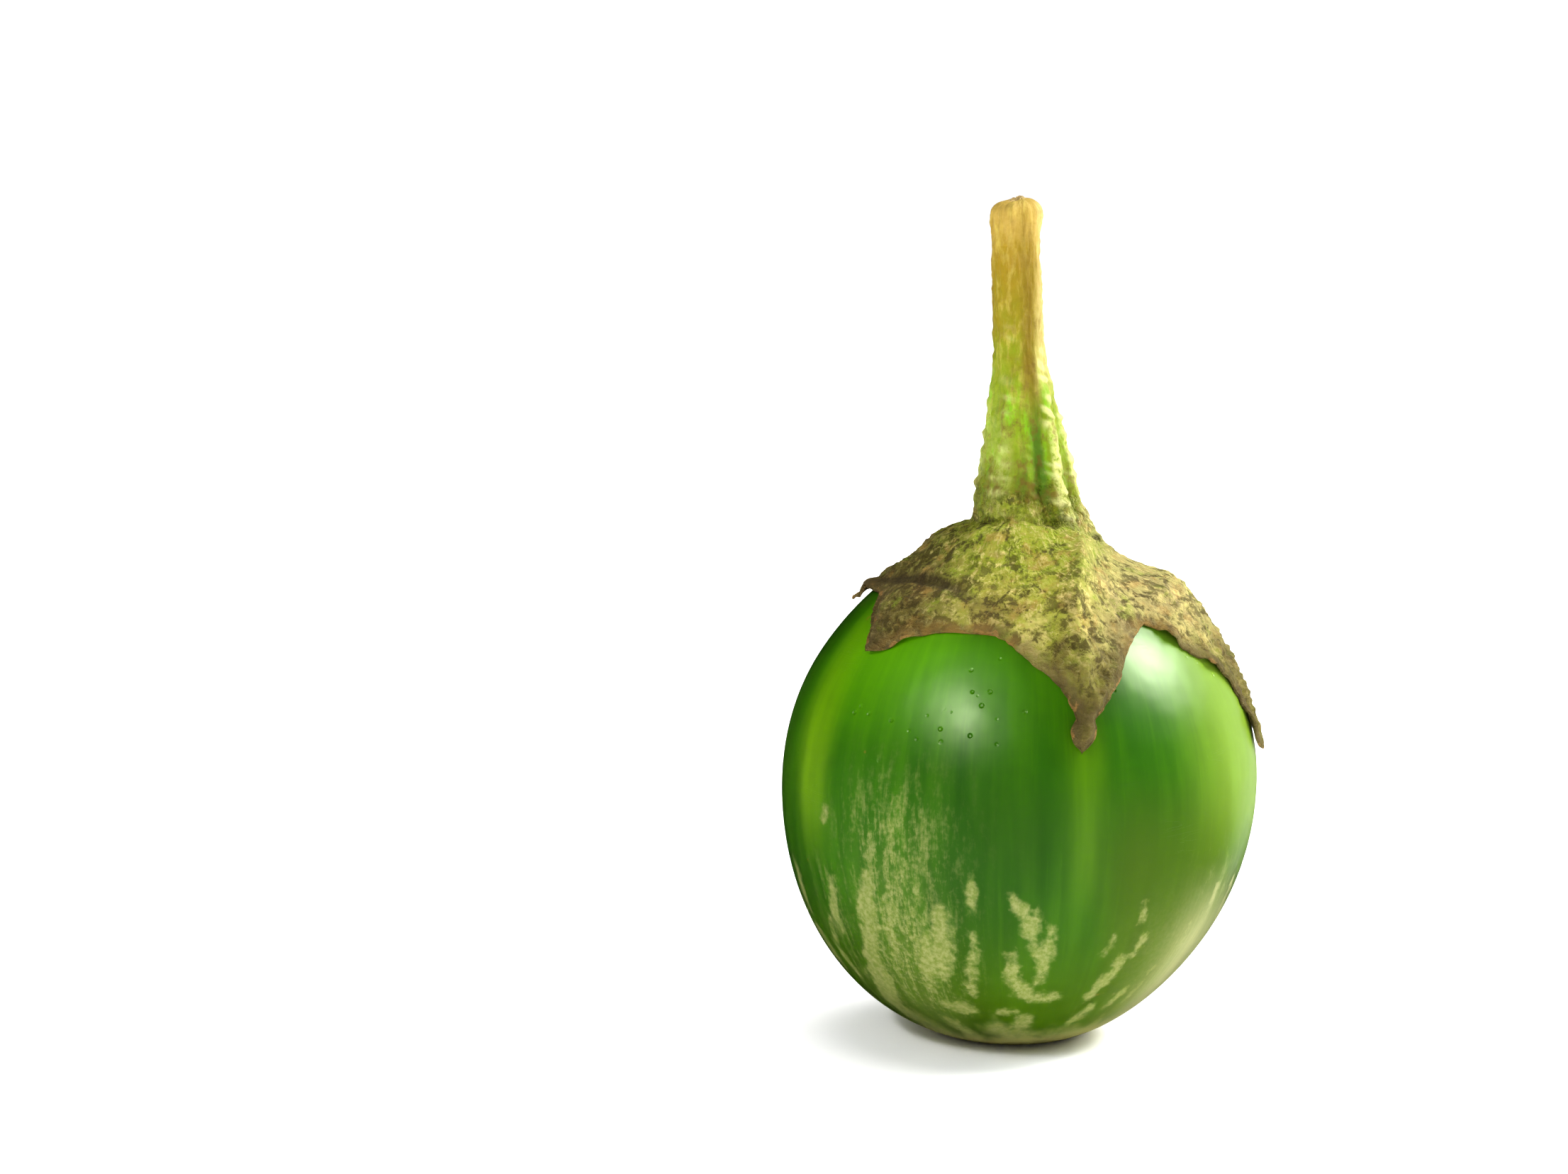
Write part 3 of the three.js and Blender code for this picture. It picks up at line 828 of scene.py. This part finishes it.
def stalk_grain(bearing, height, surface, whole):
    """Millimetres of fine grooves along the stalk, of lumps, and of a knob at each side of the cut end."""
    run = height / MM * 0.22
    line = np.stack([3 * np.cos(bearing) + 0 * run, 3 * np.sin(bearing) + 0 * run, run], -1)
    grooves = 0.05 * waves(line, 0.55, 61, 60)
    lumps = 0.09 * waves(surface, 2.2 * MM, 63, 60) + 0.06 * waves(surface, 0.8 * MM, 64, 90)
    lumps = lumps * mix(0.5, 1.3, smooth(whole, *RIB_FADE))
    turn = signed(np.degrees(bearing) + 0 * height)
    knobs = 0.32 * bell(height, STALK_HIGH.z - 2.2 * MM, 1.3 * MM)
    return grooves + lumps + knobs * (bell(turn, 88, 30) + 0.8 * bell(turn, -95, 25))


def cut_end(bearing, radius, height):
    """The cut end above the stalk's last ring: a rounded rim, then a low dome with rays and cracks."""
    angle = np.linspace(0, np.pi / 2, CUT_ROWS)[1:, None]
    rim = radius - CUT_ROUNDING * (1 - np.cos(angle))
    top = height + CUT_ROUNDING * np.sin(angle) * (0.85 + 0.12 * np.sin(bearing - 0.8))
    share = np.linspace(1, 0, CUT_ROWS)[1:, None]
    face_radius = rim[-1:] * share
    cracks = waves(round_axis(bearing, face_radius, 0), 0.7 * MM, 66, 60) * 0.09 * MM
    cracks = cracks * smooth(share, 0.0, 0.2)
    dome = 0.1 * MM * (1 - share ** 2) + 0.12 * MM * np.cos(9 * bearing) * share * (1 - share)
    face_height = top[-1:] + dome + cracks
    return np.concatenate([round_axis(bearing, rim, top), round_axis(bearing, face_radius, face_height)])


def stalk_surface():
    """The stalk: a circle at each height, whose radius and place follow the stalk's line, with its ridges
    and grain, closed by a cut end above and by a disc that follows the skin below."""
    low, high = STALK_LOW.z - STALK_SINK, STALK_HIGH.z
    share = np.linspace(0, 1, STALK_ROWS)[:, None]
    bearing = np.linspace(0, 2 * np.pi, STALK_COLUMNS, endpoint=False)[None, :]
    knots, radii, places = np.array(STALK_LINE).T
    flare = flowing([-1, 0, 1], STALK_FLARE, np.sin(bearing)) * MM
    foot_radius = radii[0] * MM + flare
    foot_place = np.array([places[0] * MM, 0, 0])
    foot = round_axis(bearing, foot_radius, 0) + foot_place
    foot_height = skin_height(foot[..., 0], foot[..., 1]) + FOOT_GAP
    height = mix(foot_height, high - CUT_ROUNDING, share)
    whole = (height - low) / (high - low)
    radius = flowing(knots, radii, whole) * MM + flare * np.exp(-(height - foot_height) / FLARE_HEIGHT)
    surface = round_axis(bearing, radius, height)
    ribs, warts = stalk_ridges(bearing, height, surface, whole)
    beads = warts * smooth(whole, 0.5, 0.36) * smooth(whole, 0.0, 0.06)
    radius = radius + (ribs + beads + stalk_grain(bearing, height, surface, whole)) * MM
    centre = flowing(knots, places, whole) * MM
    side = round_axis(bearing, radius, height) + np.stack([centre, 0 * centre, 0 * centre], -1)
    end = cut_end(bearing, radius[-1:], height[-1:]) + np.array([centre[-1, 0], 0, 0])
    end[-1] = end[-1].mean(0)
    share = np.linspace(0, 1, FOOT_ROWS + 1)[:-1, None]
    under = round_axis(bearing, foot_radius * share, 0) + foot_place
    under[..., 2] = skin_height(under[..., 0], under[..., 1]) + FOOT_GAP

    around = ((FOOT_ROWS, len(end)), (0, 0))
    cut = np.zeros((FOOT_ROWS + STALK_ROWS + len(end), STALK_COLUMNS))
    cut[-(CUT_ROWS - 1):] = 1
    values = {"wart": np.pad(warts, around), "rib": np.pad(ribs, around), "cut": cut}
    return np.concatenate([under, side, end]), values


def stalk_streaks(paint, place, z, long, fine, patch):
    """Green at the foot, then olive, ochre and straw at the cut end, in streaks that run lengthwise."""
    broad = paint.noise(paint.along(place, 0.6, 0.004), detail=2)
    level = (z + (patch - 0.5) * 0.012 + (long - 0.5) * 0.006) / LEVEL_HEIGHT
    colour = level.ramp((0.62, (0.15, 0.17, 0.0)), (0.70, (0.17, 0.26, 0.0)), (0.77, (0.18, 0.235, 0.0)),
                        (0.84, (0.215, 0.18, 0.0)), (0.91, (0.26, 0.165, 0.002)), (0.97, (0.42, 0.28, 0.05)))
    bright = (long * 0.6 + broad * 0.4).ease(0.47, 0.38)
    colour = paint.blend(colour, (0.17, 0.40, 0.0), bright * z.ease(0.076, 0.066) * 0.8)
    colour = paint.blend(colour, (0.07, 0.15, 0.0), long.ease(0.52, 0.66) * z.ease(0.076, 0.066) * 0.6)
    colour = paint.blend(colour, (0.17, 0.095, 0.0), long.ease(0.50, 0.66) * z.ease(0.068, 0.076) * 0.5)
    straw = fine.ease(0.44, 0.72) * z.ease(0.054, 0.074)
    return paint.blend(colour, (0.60, 0.48, 0.09), straw * 0.5)


def stalk_grooves(paint, colour, x, y, z, long, rib):
    """The colour with its grooves laid over it, dark green low down and ochre higher up, and with a brown
    stripe down the front."""
    groove = rib.ease(0.03, -0.5) * z.ease(0.075, 0.066)
    colour = paint.blend(colour, (0.045, 0.12, 0.0), groove * 0.85)
    ochre_groove = rib.ease(0.02, -0.07) * z.ease(0.064, 0.072) * z.ease(0.088, 0.080, 0.3, 1.0)
    colour = paint.blend(colour, (0.17, 0.11, 0.0), ochre_groove * 0.75)
    stripe = x.bell(0.0009, 0.0007) * y.ease(0.0005, -0.001)
    stripe = stripe * z.ease(0.064, 0.070) * z.ease(0.087, 0.080) * (0.4 + long * 0.8)
    return paint.blend(colour, (0.16, 0.095, 0.0), stripe * 0.75)


def stalk_spots(paint, colour, x, z, fine, speck, patch, rib):
    """The colour with its spots laid over it: pale ribs and warts, made paler towards the right side as
    painted light, a dark foot at the left, painted light as a tan right side near the cut end, and brown
    mottling."""
    # pale ribs and warts are the stalk's own colour; weighting them paler towards the right side is painted
    # light
    on_rib = rib.ease(0.18, 0.55) * z.ease(0.074, 0.066) * speck.ease(0.3, 0.55)
    colour = paint.blend(colour, (0.60, 0.60, 0.18), on_rib * x.ease(-0.001, 0.003, 0.45, 0.8))
    foot = z.ease(0.0625, 0.0575) * x.ease(0.0045, 0.0025) * (fine * 0.5 + patch * 0.5).ease(0.40, 0.55)
    colour = paint.blend(colour, (0.095, 0.10, 0.002), foot * 0.7)
    wart = (paint.attribute("wart") + (speck - 0.5) * 0.25).ease(0.0, 0.34) * z.ease(0.078, 0.07)
    colour = paint.blend(colour, (0.66, 0.65, 0.24), wart * x.ease(-0.003, 0.002, 0.35, 0.85))
    # painted light: the right side near the cut end made paler tan
    tan_painted_light = x.ease(0.0009, 0.0020) * z.ease(0.066, 0.073)
    colour = paint.blend(colour, (0.60, 0.46, 0.17), tan_painted_light * (0.25 + fine * 0.6))
    mottle = (fine * 0.35 + patch * 0.35 + speck * 0.3).ease(0.49, 0.60) * z.ease(0.082, 0.060, 0.35, 1.0)
    return paint.blend(colour, (0.12, 0.065, 0.004), mottle * 0.7)


def stalk_material():
    """Woody stalk with streaks, grooves and spots, that turns into sepal at its foot and shows pale pith at
    the cut end."""
    paint = Paint("stalk", Specular_IOR_Level=0.2)
    place = paint.here()
    x, y, z = paint.split(place)
    long = paint.noise(paint.along(place, 0.28, 0.007), detail=4, roughness=0.6, distortion=0.3)
    fine = paint.noise(paint.along(place, 0.22, 0.0022), detail=4, roughness=0.65)
    speck = paint.noise(place, 1500, detail=4, roughness=0.7)
    patch = paint.noise(place, 420, detail=4, roughness=0.65, distortion=0.4)
    rib = paint.attribute("rib")
    colour = stalk_streaks(paint, place, z, long, fine, patch)
    colour = stalk_grooves(paint, colour, x, y, z, long, rib)
    colour = stalk_spots(paint, colour, x, z, fine, speck, patch, rib)
    sepal, grain = sepal_colours(paint, place)
    joined = (z + (patch - 0.5) * 0.018).ease(0.0588, 0.0530)
    colour = paint.blend(colour, sepal, joined)
    pith = paint.blend((0.52, 0.38, 0.14), (0.34, 0.21, 0.07), speck.ease(0.42, 0.62))
    colour = paint.blend(colour, pith, paint.attribute("cut"))
    height = fine * 0.00016 + speck * 0.00014 + long * 0.0002 + patch * 0.00016 + grain * joined
    return paint.feed(Base_Color=colour, Roughness=0.5 + speck * 0.3, Normal=paint.bump(height, 0.9))


def make_stalk():
    points, values = stalk_surface()
    faces = grid_faces(points.shape[0], STALK_COLUMNS, True)
    piece = new_piece("stalk_ribbed", points.reshape(-1, 3), faces, stalk_material(), values)
    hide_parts("stalk")


# ---------------------------------------------------------------- studio

VIEW_ELEVATION = 10  # degrees above the fruit's middle
VIEW_DISTANCE = 0.3927
LENS, SENSOR = 85, 36
FRAME = (2212, 1656)
FRUIT_IN_FRAME = (0.652, 0.664)  # where the fruit's middle falls, across and down
WORLD_LIGHT, WORLD_SEEN = 0.24, 1.1
FLOOR_HALF_SIZE = 6.0
FLOOR_LIGHT, FLOOR_LIGHT_SPREAD = 2.75, 42  # the spread is in degrees, and softens the shadow
# Lights that show in the skin's gloss: name, bearing, elevation, distance, size, power and roll. The small
# ones lie in front of the wide ones, so that each highlight grows brighter towards its middle.
GLOSSY_LIGHTS = [
    ("key_wide", -39, 38, 0.9, (0.74, 0.46), 1.3, -30),
    ("key_middle", -39, 38, 0.89, (0.46, 0.20), 0.9, -30),
    ("key_small", -36, 37, 0.88, (0.22, 0.08), 1.8, -30),
    ("right_wide", 104, 40, 0.8, (0.66, 0.62), 1.4, 0),
    ("right_middle", 101, 42, 0.79, (0.46, 0.46), 3.4, 0),
    ("right_small", 98, 44, 0.78, (0.24, 0.28), 4.6, 0),
    ("right_rim", 142, 12, 0.9, (0.9, 1.2), 1.8, 0),
]
SOFT_LIGHTS = [
    ("left_soft", -38, 40, 0.95, (0.8, 0.8), 1.6, 0),
    ("right_soft", 112, 36, 0.9, (0.9, 0.8), 5.2, 0),
]


def make_camera():
    """A camera in front of the fruit's middle, turned and tipped so that it falls where it should."""
    middle = Vector((0, 0, WIDEST_HEIGHT))
    elevation = np.radians(VIEW_ELEVATION)
    data = bpy.data.cameras.new("camera")
    data.lens, data.sensor_width = LENS, SENSOR
    camera = bpy.data.objects.new("camera", data)
    bpy.context.scene.collection.objects.link(camera)
    camera.location = middle + VIEW_DISTANCE * Vector((0, -np.cos(elevation), np.sin(elevation)))
    across = (FRUIT_IN_FRAME[0] - 0.5) * SENSOR / LENS
    down = (FRUIT_IN_FRAME[1] - 0.5) * SENSOR * FRAME[1] / FRAME[0] / LENS
    camera.rotation_euler = Euler((np.pi / 2 - elevation + np.arctan(down), 0, np.arctan(across)))
    bpy.context.scene.camera = camera


def add_light(name, bearing, elevation, distance, size, power, roll):
    """A soft oval light that faces the fruit's middle from a bearing and an elevation in degrees, rolled
    about the way that it faces."""
    data = bpy.data.lights.new(name, "AREA")
    data.shape, data.size, data.size_y = "ELLIPSE", size[0], size[1]
    data.energy = power
    light = bpy.data.objects.new(name, data)
    bpy.context.scene.collection.objects.link(light)
    b, e = np.radians(bearing), np.radians(elevation)
    middle = Vector((0, 0, WIDEST_HEIGHT))
    away = Vector((np.sin(b) * np.cos(e), -np.cos(b) * np.cos(e), np.sin(e)))
    light.location = middle + distance * away
    facing = away.to_track_quat("Z", "Y") @ Quaternion((0, 0, 1), np.radians(roll))
    light.rotation_euler = facing.to_euler()
    return light


def make_floor():
    """A pale floor that carries on far behind the fruit, left out of the skin's gloss."""
    size = FLOOR_HALF_SIZE
    corners = [(-size, -size, 0), (size, -size, 0), (size, size, 0), (-size, size, 0)]
    mesh = bpy.data.meshes.new("floor")
    mesh.from_pydata(corners, [], [(0, 1, 2, 3)])
    paint = Paint("floor", Base_Color=(0.93, 0.93, 0.92, 1), Roughness=0.9, Specular_IOR_Level=0.0)
    mesh.materials.append(paint.material)
    floor = bpy.data.objects.new("floor", mesh)
    bpy.context.scene.collection.objects.link(floor)
    floor.visible_glossy = False
    return floor


def make_world():
    """White all round for the camera, dimmer as a light, and left out of the skin's gloss."""
    world = bpy.data.worlds.new("studio")
    bpy.context.scene.world = world
    world.use_nodes = True
    nodes, links = world.node_tree.nodes, world.node_tree.links
    background = nodes["Background"]
    background.inputs["Color"].default_value = (1, 1, 1, 1)
    seen = nodes.new("ShaderNodeMapRange")
    seen.inputs["To Min"].default_value, seen.inputs["To Max"].default_value = WORLD_LIGHT, WORLD_SEEN
    links.new(nodes.new("ShaderNodeLightPath").outputs["Is Camera Ray"], seen.inputs["Value"])
    links.new(seen.outputs[0], background.inputs["Strength"])
    world.cycles_visibility.glossy = False


def light_floor(floor):
    """A soft light from straight above that falls on the floor alone."""
    sun = bpy.data.lights.new("floor_light", "SUN")
    sun.energy, sun.angle = FLOOR_LIGHT, np.radians(FLOOR_LIGHT_SPREAD)
    overhead = bpy.data.objects.new("floor_light", sun)
    bpy.context.scene.collection.objects.link(overhead)
    lit = bpy.data.collections.new("lit_by_floor_light")
    lit.objects.link(floor)
    overhead.light_linking.receiver_collection = lit


def make_studio():
    """The camera, the floor, the world and the lights."""
    make_camera()
    for light in SOFT_LIGHTS:
        add_light(*light).visible_glossy = False
    for light in GLOSSY_LIGHTS:
        add_light(*light)
    light_floor(make_floor())
    make_world()
    bpy.context.scene.view_settings.view_transform = "Standard"


make_studio()
make_fruit()
make_calyx()
make_stalk()
